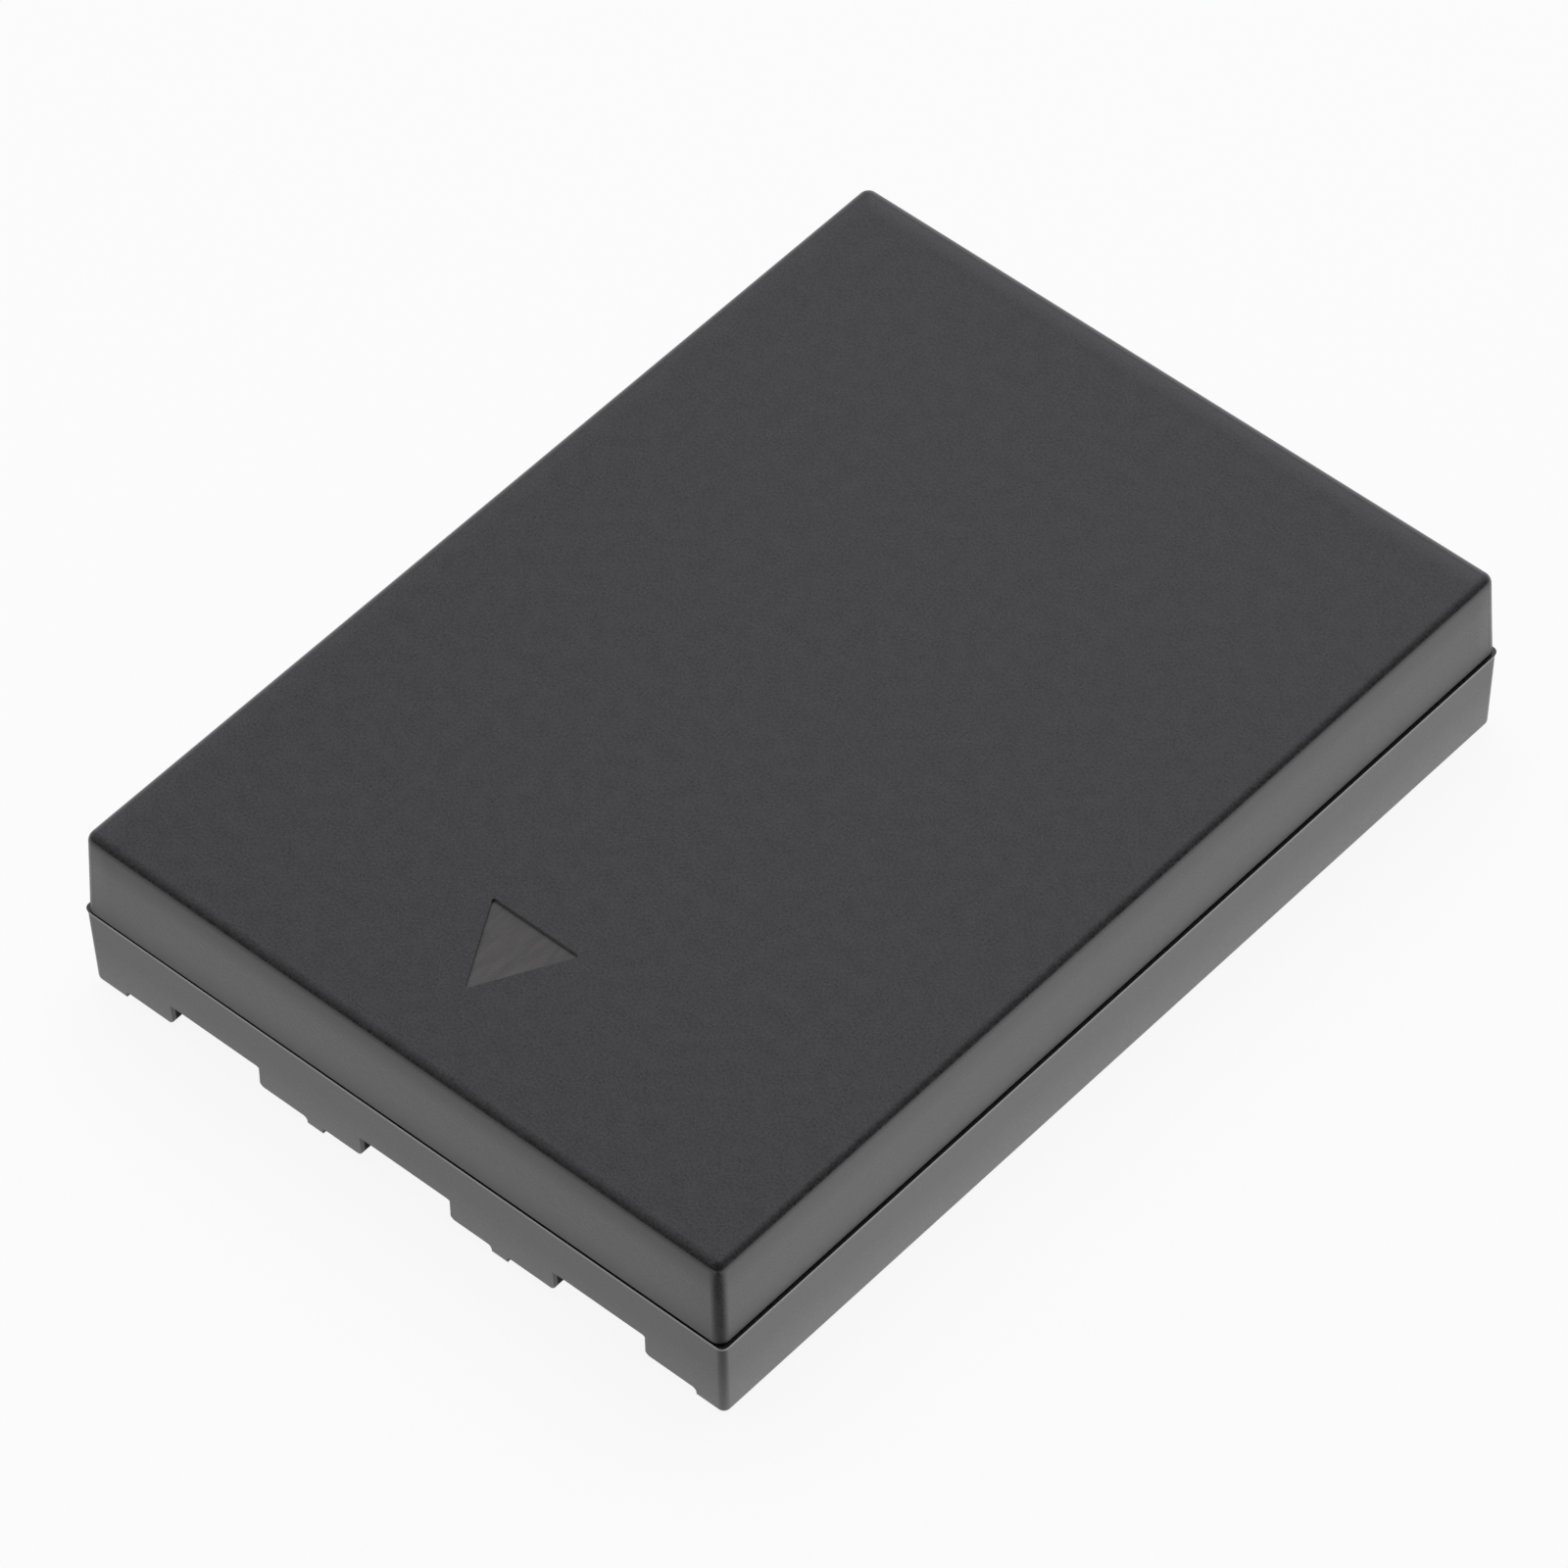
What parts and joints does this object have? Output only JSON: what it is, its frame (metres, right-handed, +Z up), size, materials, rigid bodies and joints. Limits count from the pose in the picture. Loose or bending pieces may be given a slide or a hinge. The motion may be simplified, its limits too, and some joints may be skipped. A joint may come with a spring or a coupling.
{
  "type": "camera battery",
  "caption": "Flat rechargeable battery pack for a compact camera: drafted plastic trays joined at a lap seam, a sunk direction arrow, and contacts set in notches under one end.",
  "frame": {"origin": "centre of the underside, on the surface the pack lies on", "axes": "+Z up through the roof with the arrow, +Y along the length away from the contact end, +X across the width"},
  "size_m": [0.0324, 0.0448, 0.0085],
  "materials": {
    "case_plastic": "charcoal, fine moulded grain",
    "cell_aluminium": "drawn can, dull",
    "seal_plastic": "black seal",
    "nickel": "nickel strip",
    "card": "insulating card",
    "board": "green solder mask",
    "contact_gold": "gold plate",
    "package": "moulded black",
    "chip_ceramic": "fired, bare",
    "tape": "double-sided adhesive pad"
  },
  "bodies": {
    "root": {"upper_case": "case_plastic", "lower_case": "case_plastic", "cell_can": "cell_aluminium", "terminal_gasket": "seal_plastic", "cell_terminal": "nickel", "thermal_cutoff": "nickel", "insulating_card": "card", "circuit_board": "board", "contact_plus": "contact_gold", "contact_sense": "contact_gold", "contact_minus": "contact_gold", "protection_chip": "package", "switch_chip": "package", "sense_thermistor": "chip_ceramic", "chip_resistors": "package", "chip_capacitors": "chip_ceramic", "plus_tab": "nickel", "minus_tab": "nickel", "upper_tape": "tape", "lower_tape": "tape"}
  },
  "joints": []
}
